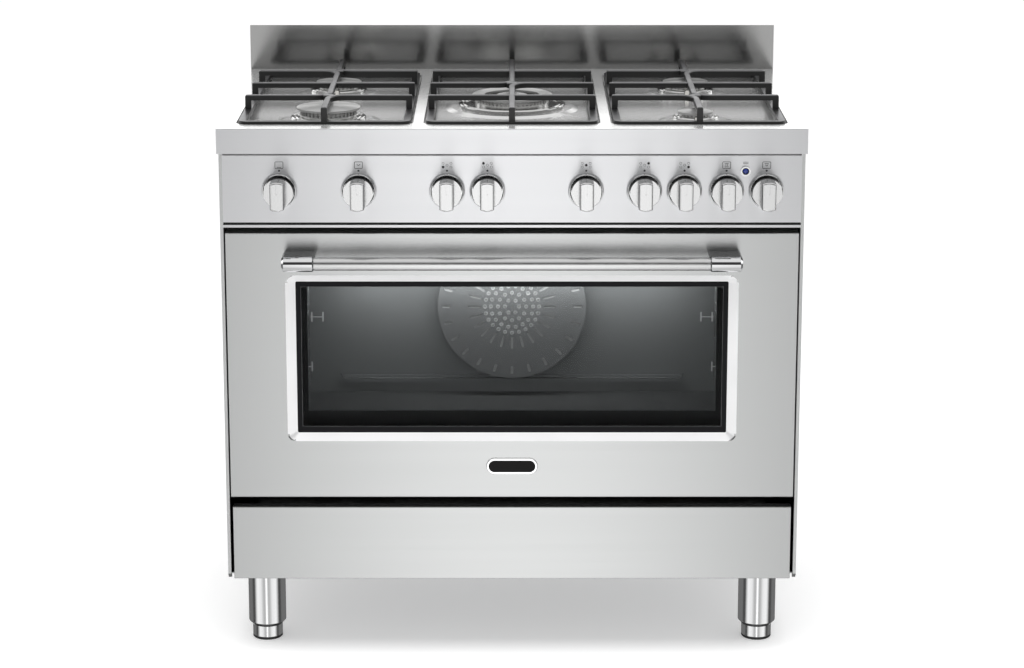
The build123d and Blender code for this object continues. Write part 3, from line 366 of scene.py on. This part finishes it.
BURNERS = ("front_left", "rear_left", "centre", "rear_right", "front_right")
OVEN_KNOBS = ("thermostat", "timer", "selector", "grill")
PAN_SUPPORTS = ("left", "centre", "right")
CORNERS = ("front_left", "front_right", "rear_left", "rear_right")
FINISH_OF = {
    "side_panel_left": "side_steel", "side_panel_right": "side_steel", "back_panel": "galvanised",
    "base_frame": "galvanised", "front_frame": "black_enamel", "oven_cavity": "oven_enamel",
    "oven_insulation": "mineral_wool", "door_seal": "rubber", "hob_top": "hob_steel",
    "splashback": "splash_steel", "control_panel": "panel_steel", "gas_pipes": "aluminium",
    "gas_taps": "brass", "oven_switches": "plastic", "knob_bezels": "chrome", "indicator_lamp": "blue_jewel",
    "leg_tubes": "leg_steel", "storage_box": "box_steel", "rack_supports": "wire",
    "fan_cover": "cover_enamel_painted_shade", "fan_motor": "galvanised", "heating_elements": "element",
    "oven_lamp": "lamp_glass", "burner_bases": "cup_metal", "flame_crowns": "crown_metal",
    "burner_caps": "cap_metal", "igniters": "ceramic", "hinge_arms": "galvanised", "terminal_box": "plastic",
    "door_panel": "door_steel", "door_liner": "oven_enamel", "door_glass_outer": "outer_glass",
    "door_glass_inner": "inner_glass", "door_handle_bar": "bar_steel", "door_handle_brackets": "chrome",
    "door_badge": "chrome", "door_hinge_boxes": "galvanised", "storage_flap": "door_steel",
    "fan_wheel": "aluminium",
}
FAMILIES = (
    ("tap_spindle", BURNERS, "brass"), ("gas_knob", BURNERS, "knob_metal"),
    ("oven_knob", OVEN_KNOBS, "knob_metal"), ("pan_support", PAN_SUPPORTS, "iron"),
    ("foot", CORNERS, "foot_steel"),
)
for family, members, finish in FAMILIES:
    FINISH_OF.update({f"{family}_{member}": finish for member in members})

for name, part in nodes.items():
    part.data.materials.clear()
    part.data.materials.append(finishes[FINISH_OF[name]])


# Faces with another finish than the rest of their node

hob_low, hob_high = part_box("hob_top")
panel_low, panel_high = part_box("control_panel")
cavity_low, cavity_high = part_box("oven_cavity")
door_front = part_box("door_panel")[0].y
pane_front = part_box("door_glass_outer")[0].y
badge_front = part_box("door_badge")[0].y
# Least part of a face's normal along an axis for the face to look that way
FACING = 0.7
LIP_DEPTH = 1 * MM
MARGIN_DEPTH = 0.5 * MM
FLOOR_RISE = 6 * MM
BEVEL_SLOPE = (0.2, 0.95)
BEVEL_START = 1.5 * MM
BEVEL_END = 0.5 * MM
GROOVE = (3.8 * MM, 8.2 * MM)
GROOVE_DEPTH = 0.2 * MM
LIT_TOP_SLOPE = 0.5
BADGE_FIELD = (0.4 * MM, 0.8 * MM)
BADGE_FACING = 0.9
LAMP_REACH = 12 * MM
GRIP_AHEAD = 25 * MM
GRIP_FLANK = 0.6
SKIRT_SLOPE = 0.4
grip_start = panel_low.y - GRIP_AHEAD


def paint(name, finish, chosen):
    """Give another finish to the faces of a node that a test chooses."""
    mesh = nodes[name].data
    place = len(mesh.materials)
    mesh.materials.append(finishes[finish])
    for face in mesh.polygons:
        if chosen(face):
            face.material_index = place


def on_lip(face):
    """Front of the hob's lip, brushed like the panel under it."""
    return face.normal.y < -FACING and face.center.y < hob_low.y + LIP_DEPTH


def on_margin(face):
    """Flat margins of the hob round its wells, given a paler copy of the hob steel as painted light from
    above.
    """
    return face.normal.z > FACING and face.center.z > hob_high.z - MARGIN_DEPTH and not on_lip(face)


def on_bevel(face):
    """Bevel of the door round its window, given a paler, partly matt copy of the steel as painted light."""
    sloped = BEVEL_SLOPE[0] < -face.normal.y < BEVEL_SLOPE[1]
    return sloped and door_front + BEVEL_START < face.center.y < pane_front + BEVEL_END


def in_shaded_groove(face):
    """Groove over the strip along the panel's lower edge, painted black as shade."""
    beside = panel_low.z + GROOVE[0] < face.center.z < panel_low.z + GROOVE[1]
    return beside and face.center.y > panel_low.y + GROOVE_DEPTH


def on_lit_top(face):
    """Paler tops of the pan supports: painted light from above."""
    return face.normal.z > LIT_TOP_SLOPE


def on_grip_flank(face):
    """Flanks beside the front of a knob's grip, painted dark as shade."""
    return face.center.y < grip_start and abs(face.normal.x) > GRIP_FLANK


def on_skirt(face):
    """Skirt of a knob inside its bezel, painted dark as the shade between knob and bezel."""
    return face.center.y > grip_start and abs(face.normal.y) < SKIRT_SLOPE


def on_lamp_bezel(face):
    """Bezel of the indicator lamp."""
    return math.hypot(face.center.x - lamp_x, face.center.z - lamp_z) < LAMP_REACH


def on_badge_field(face):
    """Blank field inside the badge's bright rim."""
    recessed = badge_front + BADGE_FIELD[0] < face.center.y < badge_front + BADGE_FIELD[1]
    return recessed and abs(face.normal.y) > BADGE_FACING


def on_oven_floor(face):
    """Floor of the oven, painted darker than the walls as shade."""
    return face.normal.z > FACING and face.center.z < cavity_low.z + FLOOR_RISE


paint("hob_top", "panel_steel", on_lip)
paint("hob_top", "hob_painted_light", on_margin)
paint("door_panel", "pale_steel_painted_light", on_bevel)
paint("control_panel", "black_enamel", in_shaded_groove)
paint("knob_bezels", "lamp_bezel", on_lamp_bezel)
paint("door_badge", "badge_black", on_badge_field)
paint("oven_cavity", "oven_floor_painted_shade", on_oven_floor)
for support in PAN_SUPPORTS:
    paint(f"pan_support_{support}", "iron_lit_top", on_lit_top)
for knob in [f"gas_knob_{name}" for name in BURNERS] + [f"oven_knob_{name}" for name in OVEN_KNOBS]:
    paint(knob, "knob_flank_painted_shade", on_grip_flank)
    paint(knob, "knob_skirt_painted_shade", on_skirt)


# Small pieces that the scene adds to the cabinet

def solid_piece(name, verts, faces, finish):
    """Piece of the cabinet from points and faces."""
    mesh = bpy.data.meshes.new(name)
    mesh.from_pydata(verts, [], faces)
    mesh.materials.append(finishes[finish])
    made = bpy.data.objects.new(name, mesh)
    scene.collection.objects.link(made)
    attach(made, "cabinet")


def box_piece(name, low, high, finish):
    """Plain box between two corners."""
    verts = [(x, y, z) for x in (low[0], high[0]) for y in (low[1], high[1]) for z in (low[2], high[2])]
    faces = [(0, 1, 3, 2), (4, 6, 7, 5), (0, 4, 5, 1), (2, 3, 7, 6), (0, 2, 6, 4), (1, 5, 7, 3)]
    solid_piece(name, verts, faces, finish)


def circle(x, z, radius, count=20):
    """Points of an upright circle."""
    angles = [2 * math.pi * i / count for i in range(count)]
    return [(x + radius * math.cos(angle), z + radius * math.sin(angle)) for angle in angles]


def band(low, sides, flip=False):
    """Faces between a ring of points and the next ring after it."""
    pairs = [(low + i, low + (i + 1) % sides) for i in range(sides)]
    if flip:
        return [(a, b, b + sides, a + sides) for a, b in pairs]
    return [(a, a + sides, b + sides, b) for a, b in pairs]


def end_cap(low, sides):
    """Face over the last ring of points."""
    return tuple(reversed(range(low, low + sides)))


# Printed signs on the control panel

SIGN_Z = panel_low.z + 97.2 * MM
DOT_Z = panel_low.z + 88.6 * MM
PRINT_PROUD = 0.12 * MM
INDEX_DOT = 1.5 * MM
LINE = 0.75 * MM
SIGN_WIDTH = 13 * MM
SIGN_HEIGHT = 11 * MM
SIGN_CORNER = 1.6 * MM
LEAST_CORNER = 0.1 * MM
CORNER_STEPS = 4
MAP_X = 6 * MM
MAP_Z = 2.9 * MM
MAP_DOT = 2.0 * MM
MAP_RING = 1.9 * MM
MAP_LINE = 0.4 * MM
MAP_PLACES = {"front_left": (-1, -1), "rear_left": (-1, 1), "centre": (0, 0), "rear_right": (1, 1),
              "front_right": (1, -1)}
# Strokes of each oven sign: both ends from the sign's middle, in mm
OVEN_MARKS = {
    "thermostat": [(-3.5, -3.4, 3.5, -3.4)],
    "timer": [(0, -0.6, 3, 1.6), (0, -0.6, -2.4, 1.4)],
    "selector": [(-3, 2.4, 3, 2.4), (-3, -2.6, 3, -2.6), (-1.2, -1, -1.2, 1.2), (1.2, -1, 1.2, 1.2)],
    "grill": [(-3.2, 2.4, 3.2, 2.4), (-2, 0.8, 0, -1.6), (0, -1.6, 2, 0.8)],
}
LAMP_MARKS = [(-4, 2.4, 4, 2.4), (-4, 4.6, 4, 4.6)]


def sign(name, outlines):
    """Flat print on the panel's face, from pairs of an outline of (x, z) points and its hole, or None."""
    y = panel_low.y - PRINT_PROUD
    verts, faces = [], []
    for outer, inner in outlines:
        start = len(verts)
        count = len(outer)
        verts += [(x, y, z) for x, z in outer]
        if inner is None:
            faces.append(tuple(range(start, start + count)))
        else:
            verts += [(x, y, z) for x, z in inner]
            faces += band(start, count, flip=True)
    solid_piece(f"sign_{name}", verts, faces, "print_black")


def dot(x, z, radius):
    """Filled dot."""
    return circle(x, z, radius), None


def ring(x, z, radius, line):
    """Circle drawn as a line."""
    return circle(x, z, radius), circle(x, z, radius - line)


def rounded_square(x, z, width, height, corner):
    """Points of a rectangle with round corners."""
    points = []
    for turn, (sx, sz) in enumerate(((1, 1), (-1, 1), (-1, -1), (1, -1))):
        for step in range(CORNER_STEPS + 1):
            angle = math.pi / 2 * (turn + step / CORNER_STEPS)
            points.append((x + sx * (width / 2 - corner) + corner * math.cos(angle),
                           z + sz * (height / 2 - corner) + corner * math.sin(angle)))
    return points


def frame_line(x, z, width, height, corner, line):
    """Rounded rectangle drawn as a line."""
    inner_corner = max(corner - line, LEAST_CORNER)
    return (rounded_square(x, z, width, height, corner),
            rounded_square(x, z, width - 2 * line, height - 2 * line, inner_corner))


def stroke(x0, z0, x1, z1, line):
    """Straight line of a given width."""
    length = math.hypot(x1 - x0, z1 - z0)
    nx, nz = -(z1 - z0) / length * line / 2, (x1 - x0) / length * line / 2
    return [(x0 + nx, z0 + nz), (x1 + nx, z1 + nz), (x1 - nx, z1 - nz), (x0 - nx, z0 - nz)], None


def strokes(x, marks):
    """Strokes of a sign whose middle is at x."""
    return [stroke(x + x0 * MM, SIGN_Z + z0 * MM, x + x1 * MM, SIGN_Z + z1 * MM, LINE)
            for x0, z0, x1, z1 in marks]


def knob_x(name):
    """Middle of a knob across the panel."""
    low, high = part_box(name)
    return (low.x + high.x) / 2


for name in BURNERS:
    x = knob_x(f"gas_knob_{name}")
    shapes = [dot(x, DOT_Z, INDEX_DOT)]
    for place, (sx, sz) in MAP_PLACES.items():
        map_x, map_z = x + sx * MAP_X, SIGN_Z + sz * MAP_Z
        own = place == name
        shapes.append(dot(map_x, map_z, MAP_DOT) if own else ring(map_x, map_z, MAP_RING, MAP_LINE))
    sign(name, shapes)
for name, marks in OVEN_MARKS.items():
    x = knob_x(f"oven_knob_{name}")
    outline = frame_line(x, SIGN_Z, SIGN_WIDTH, SIGN_HEIGHT, SIGN_CORNER, LINE)
    sign(name, [dot(x, DOT_Z, INDEX_DOT), outline] + strokes(x, marks))
sign("indicator", strokes(lamp_x, LAMP_MARKS))


# Dark rubber strip under the hob's lip as painted shadow, and a pale edge along the panel's top below it as
# painted highlight

SHADOW_STRIP_HEIGHT = 1.4 * MM
SHADOW_STRIP_INSET = 1.2 * MM
STRIP_INSET = 1 * MM
STRIP_SUNK = 0.5 * MM
EDGE_HEIGHT = 2 * MM
EDGE_PROUD = 1.7 * MM
strip_half = panel_high.x - STRIP_INSET
strip_y = panel_low.y + STRIP_SUNK
shadow_strip_low = hob_low.z - SHADOW_STRIP_HEIGHT
edge_low = shadow_strip_low - EDGE_HEIGHT
# Black strip standing in for the shadow under the lip: painted shadow
box_piece("lip_shadow_strip", (-strip_half, hob_low.y + SHADOW_STRIP_INSET, shadow_strip_low), (strip_half, strip_y, hob_low.z),
          "rubber")
# Pale edge standing in for the highlight along the panel's top: painted highlight
edge_profile = ((strip_y, edge_low), (panel_low.y - EDGE_PROUD, edge_low), (strip_y, shadow_strip_low))
solid_piece("panel_top_highlight", [(x, y, z) for x in (-strip_half, strip_half) for y, z in edge_profile],
            [(0, 1, 2), (3, 5, 4), (0, 3, 4, 1), (1, 4, 5, 2), (0, 2, 5, 3)], "pale_steel_painted_light")


# Screws at the rear

# Screw head profile: shares of the radius and of the height, from the seat to the socket's floor
SCREW_PROFILE = ((1.0, 0.0), (1.0, 0.45), (0.8, 1.0), (0.45, 1.0), (0.4, 0.25))
SCREW_SIDES = 12
BACK_INSET = 14 * MM
BACK_ROWS = (20 * MM, 200 * MM, 380 * MM, 560 * MM, 700 * MM)
MIDDLE_X = 160 * MM
MIDDLE_ROWS = (14 * MM, 704 * MM)
COVER_INSET = 8 * MM


def screws(name, places, seat_y, radius, height):
    """Socket screw heads on a face that looks to the rear, as one piece."""
    verts, faces = [], []
    for x, z in places:
        start = len(verts)
        for share, rise in SCREW_PROFILE:
            outline = circle(x, z, share * radius, SCREW_SIDES)
            verts += [(px, seat_y + rise * height, pz) for px, pz in outline]
        last = len(verts) - SCREW_SIDES
        for low in range(start, last, SCREW_SIDES):
            faces += band(low, SCREW_SIDES)
        faces.append(end_cap(last, SCREW_SIDES))
    solid_piece(name, verts, faces, "galvanised")


back_low, back_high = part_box("back_panel")
edge_x = back_high.x - BACK_INSET
back_places = [(x, back_low.z + row) for x in (-edge_x, edge_x) for row in BACK_ROWS]
back_places += [(x, back_low.z + row) for x in (-MIDDLE_X, MIDDLE_X) for row in MIDDLE_ROWS]
screws("back_screws", back_places, back_high.y, radius=4.2 * MM, height=2 * MM)

# The terminal box has a square cover, with the cable gland below it
cover_low, cover_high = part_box("terminal_box")
cover_bottom = cover_high.z - (cover_high.x - cover_low.x)
cover_places = [(x, z) for x in (cover_low.x + COVER_INSET, cover_high.x - COVER_INSET)
                for z in (cover_bottom + COVER_INSET, cover_high.z - COVER_INSET)]
screws("cover_screws", cover_places, cover_high.y, radius=3 * MM, height=1.6 * MM)


# Fan cover: pale disc behind it as painted light in its holes, and pressed rims round its holes, pale as
# painted glints

# Rings of holes: their number, and their radius as a share of the cover's
HOLE_RINGS = ((6, 0.095), (12, 0.19), (18, 0.286), (24, 0.365))
HOLE = 2.6 * MM
RIM = 0.8 * MM
RIM_HEIGHT = 0.5 * MM
RIM_SIDES = 10
RIM_PROFILE = ((HOLE + RIM, 0.0), (HOLE + RIM / 2, RIM_HEIGHT), (HOLE, 0.0))
BACKING_BEHIND = 2 * MM
BACKING_INSET = 3 * MM
BACKING_SIDES = 48
fan_low, fan_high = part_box("fan_cover")
fan_z = (fan_low.z + fan_high.z) / 2
fan_radius = (fan_high.x - fan_low.x) / 2

# Pale disc behind the cover's holes: painted light seen through them
backing_y = fan_low.y + BACKING_BEHIND
backing_line = circle(0, fan_z, fan_radius - BACKING_INSET, BACKING_SIDES)
solid_piece("fan_hole_backing", [(x, backing_y, z) for x, z in backing_line], [tuple(range(BACKING_SIDES))],
            "hole_backing_painted_light")

rim_verts, rim_faces = [], []
for count, share in HOLE_RINGS:
    for hole_x, hole_z in circle(0, fan_z, share * fan_radius, count):
        start = len(rim_verts)
        for radius, rise in RIM_PROFILE:
            rim_verts += [(x, fan_low.y - rise, z) for x, z in circle(hole_x, hole_z, radius, RIM_SIDES)]
        for low in (start, start + RIM_SIDES):
            rim_faces += band(low, RIM_SIDES, flip=True)
# Rims round the holes, pale as painted glints
solid_piece("fan_cover_rims", rim_verts, rim_faces, "glint_enamel")


# Hooks beside the shelf wires, pale as painted glints

UPRIGHT = (1.1, 1.1, 8)
LONG_LINK = (12, 0.6, 0.6)
SHORT_LINK = (6, 0.6, 0.6)
# Middle, in mm inward from the cavity's side, forward from its rear and up from its base, and half size
HOOKS = (
    ((21.5, 51.5, 146.5), UPRIGHT), ((40.5, 51.5, 146.5), UPRIGHT), ((28.5, 51.5, 146.5), LONG_LINK),
    ((17.5, 141.5, 83.5), UPRIGHT), ((27.5, 141.5, 83.5), UPRIGHT), ((22.5, 141.5, 83.5), SHORT_LINK),
)
for side, side_name in ((-1, "left"), (1, "right")):
    for index, ((inward, forward, upward), half) in enumerate(HOOKS):
        middle = (side * (cavity_high.x - inward * MM), cavity_high.y - forward * MM,
                  cavity_low.z + upward * MM)
        low = [place - reach * MM for place, reach in zip(middle, half)]
        high = [place + reach * MM for place, reach in zip(middle, half)]
        box_piece(f"rack_hook_{side_name}_{index}", low, high, "glint_enamel")


# Wire along the oven's rear, with its ends turned up

WIRE_RADIUS = 1.1 * MM
WIRE_SIDES = 8
WIRE_FORWARD = 9 * MM
WIRE_RISE = 27.5 * MM
WIRE_INSET = 69.5 * MM
# Turned-up end: outward from the bend and up from the run
WIRE_END = ((3 * MM, 9 * MM), (0.0, 2 * MM), (-4 * MM, 0.0))
wire_y = cavity_high.y - WIRE_FORWARD
wire_z = cavity_low.z + WIRE_RISE
wire_half = cavity_high.x - WIRE_INSET
wire_path = [(-wire_half - outward, wire_z + up) for outward, up in WIRE_END]
wire_path += [(wire_half + outward, wire_z + up) for outward, up in reversed(WIRE_END)]
wire_verts = []
for index, (x, z) in enumerate(wire_path):
    before = wire_path[max(index - 1, 0)]
    after = wire_path[min(index + 1, len(wire_path) - 1)]
    run = math.hypot(after[0] - before[0], after[1] - before[1])
    across_x, across_z = -(after[1] - before[1]) / run, (after[0] - before[0]) / run
    for dy, out in circle(0, 0, WIRE_RADIUS, WIRE_SIDES):
        wire_verts.append((x + across_x * out, wire_y + dy, z + across_z * out))
last = len(wire_verts) - WIRE_SIDES
wire_faces = []
for low in range(0, last, WIRE_SIDES):
    wire_faces += band(low, WIRE_SIDES)
wire_faces += [tuple(range(WIRE_SIDES)), end_cap(last, WIRE_SIDES)]
solid_piece("rear_wire", wire_verts, wire_faces, "wire")


# Floor

FLOOR_SIZE = 24.0
FLOOR_TONE = 0.88
FLOOR_GLOW = 0.34


def studio_floor():
    """White floor that keeps its shadow and can be seen through from below."""
    mesh = bpy.data.meshes.new("floor")
    half = FLOOR_SIZE / 2
    corners = [(-half, -half, 0), (half, -half, 0), (half, half, 0), (-half, half, 0)]
    mesh.from_pydata(corners, [], [(0, 1, 2, 3)])
    floor = bpy.data.objects.new("floor", mesh)
    scene.collection.objects.link(floor)
    tree = new_material("floor_white")[0]
    tree.nodes.clear()
    lit = node(tree, "ShaderNodeBsdfDiffuse", {"Color": (FLOOR_TONE, FLOOR_TONE, FLOOR_TONE, 1)})
    glow = node(tree, "ShaderNodeEmission", {"Strength": FLOOR_GLOW})
    both = node(tree, "ShaderNodeAddShader", {0: lit.outputs[0], 1: glow.outputs[0]})
    clear = node(tree, "ShaderNodeBsdfTransparent")
    below = node(tree, "ShaderNodeNewGeometry").outputs["Backfacing"]
    mixed = node(tree, "ShaderNodeMixShader", {0: below, 1: both.outputs[0], 2: clear.outputs[0]})
    node(tree, "ShaderNodeOutputMaterial", {"Surface": mixed.outputs[0]})
    mesh.materials.append(finishes["floor_white"])
    floor.visible_glossy = False


studio_floor()


# Surroundings

# Reflected floor in front: distance aside (sine of the azimuth) and level
FRONT_FLOOR = (
    (0.0, 2.0), (0.05, 1.65), (0.1, 0.85), (0.17, 0.6), (0.3, 0.6),
    (0.55, 1.1), (0.85, 1.25), (0.93, 0.8), (0.98, 0.12), (1.0, 0.06),
)
RAMP_TOP = 3.0
FRONT_DARK = 0.05
BACK_BRIGHT = 2.0
BACK_HIGH = 0.9
BACK_FLOOR = 0.2
OVERHEAD = 0.95
AMBIENT = 0.95
# Where one part of the surroundings passes into the next: heights, and a depth, of a unit direction
FRONT_HORIZON = (-0.02, 0.05)
BACK_HORIZON = (-0.06, 0.02)
WALL_TOP = (0.22, 0.4)
FRONT_TO_BACK = (-0.1, 0.3)
CEILING = (0.58, 0.72)
NEARLY_ZERO = 0.001


def studio_world():
    """White to the camera; reflections see a lit floor and a dark room in front, a white wall behind."""
    world = bpy.data.worlds.new("studio")
    scene.world = world
    world.use_nodes = True
    tree = world.node_tree
    tree.nodes.clear()
    x, y, z = axes(tree, "Generated")
    flat = math_node(tree, "MAXIMUM", distance(tree, x, y), NEARLY_ZERO)
    aside = math_node(tree, "DIVIDE", math_node(tree, "ABSOLUTE", x), flat)
    front = node(tree, "ShaderNodeValToRGB", {"Fac": aside})
    stops = front.color_ramp.elements
    while len(stops) < len(FRONT_FLOOR):
        stops.new(0.5)
    for stop, (position, level) in zip(stops, FRONT_FLOOR):
        stop.position = position
        stop.color = (level / RAMP_TOP,) * 3 + (1.0,)
    floor_level = math_node(tree, "MULTIPLY", front.outputs["Color"], RAMP_TOP)
    ahead = blend(tree, ramp_between(tree, z, *FRONT_HORIZON), floor_level, FRONT_DARK)
    wall = blend(tree, ramp_between(tree, z, *WALL_TOP), BACK_BRIGHT, BACK_HIGH)
    rear = blend(tree, ramp_between(tree, z, *BACK_HORIZON), BACK_FLOOR, wall)
    around = blend(tree, ramp_between(tree, y, *FRONT_TO_BACK), ahead, rear)
    seen = blend(tree, ramp_between(tree, z, *CEILING), around, OVERHEAD)
    path = node(tree, "ShaderNodeLightPath")
    other = blend(tree, path.outputs["Is Glossy Ray"], AMBIENT, seen)
    level = math_node(tree, "MAXIMUM", other, path.outputs["Is Camera Ray"])
    background = node(tree, "ShaderNodeBackground", {"Strength": level})
    node(tree, "ShaderNodeOutputWorld", {"Surface": background.outputs[0]})


studio_world()


# Light

def area_light(name, place, aim, size, power, glossy):
    """Rectangular soft light aimed at a point; the camera doesn't see it."""
    data = bpy.data.lights.new(name, "AREA")
    data.shape = "RECTANGLE"
    data.size, data.size_y = size
    data.energy = power
    made = bpy.data.objects.new(name, data)
    scene.collection.objects.link(made)
    made.location = place
    direction = [a - b for a, b in zip(aim, place)]
    made.rotation_mode = "QUATERNION"
    made.rotation_quaternion = Vector(direction).to_track_quat("-Z", "Y")
    made.visible_camera = False
    made.visible_transmission = False
    made.visible_glossy = glossy


area_light("softbox", place=(0, -0.9, 2.7), aim=(0, 0.1, 0.6), size=(2.4, 1.6), power=45, glossy=False)
area_light("oven_glow", place=(0, 0.13, 0.535), aim=(0, 0.2, 0.45), size=(0.6, 0.03), power=1.05,
           glossy=True)
area_light("oven_fill", place=(0, -0.19, 0.42), aim=(0, 0.2, 0.4), size=(0.6, 0.2), power=0.7, glossy=False)


# Camera

CAMERA_PLACE = (0, -4.4, 1.5905)
CAMERA_PITCH = 12.73
CAMERA_LENS = 97.04
CAMERA_SENSOR = 36
CAMERA_SHIFT = -0.08

camera_data = bpy.data.cameras.new("camera")
camera_data.lens = CAMERA_LENS
camera_data.sensor_width = CAMERA_SENSOR
camera_data.shift_y = CAMERA_SHIFT
camera = bpy.data.objects.new("camera", camera_data)
scene.collection.objects.link(camera)
camera.location = CAMERA_PLACE
camera.rotation_euler = (math.radians(90 - CAMERA_PITCH), 0, 0)
scene.camera = camera
scene.view_settings.view_transform = "Standard"
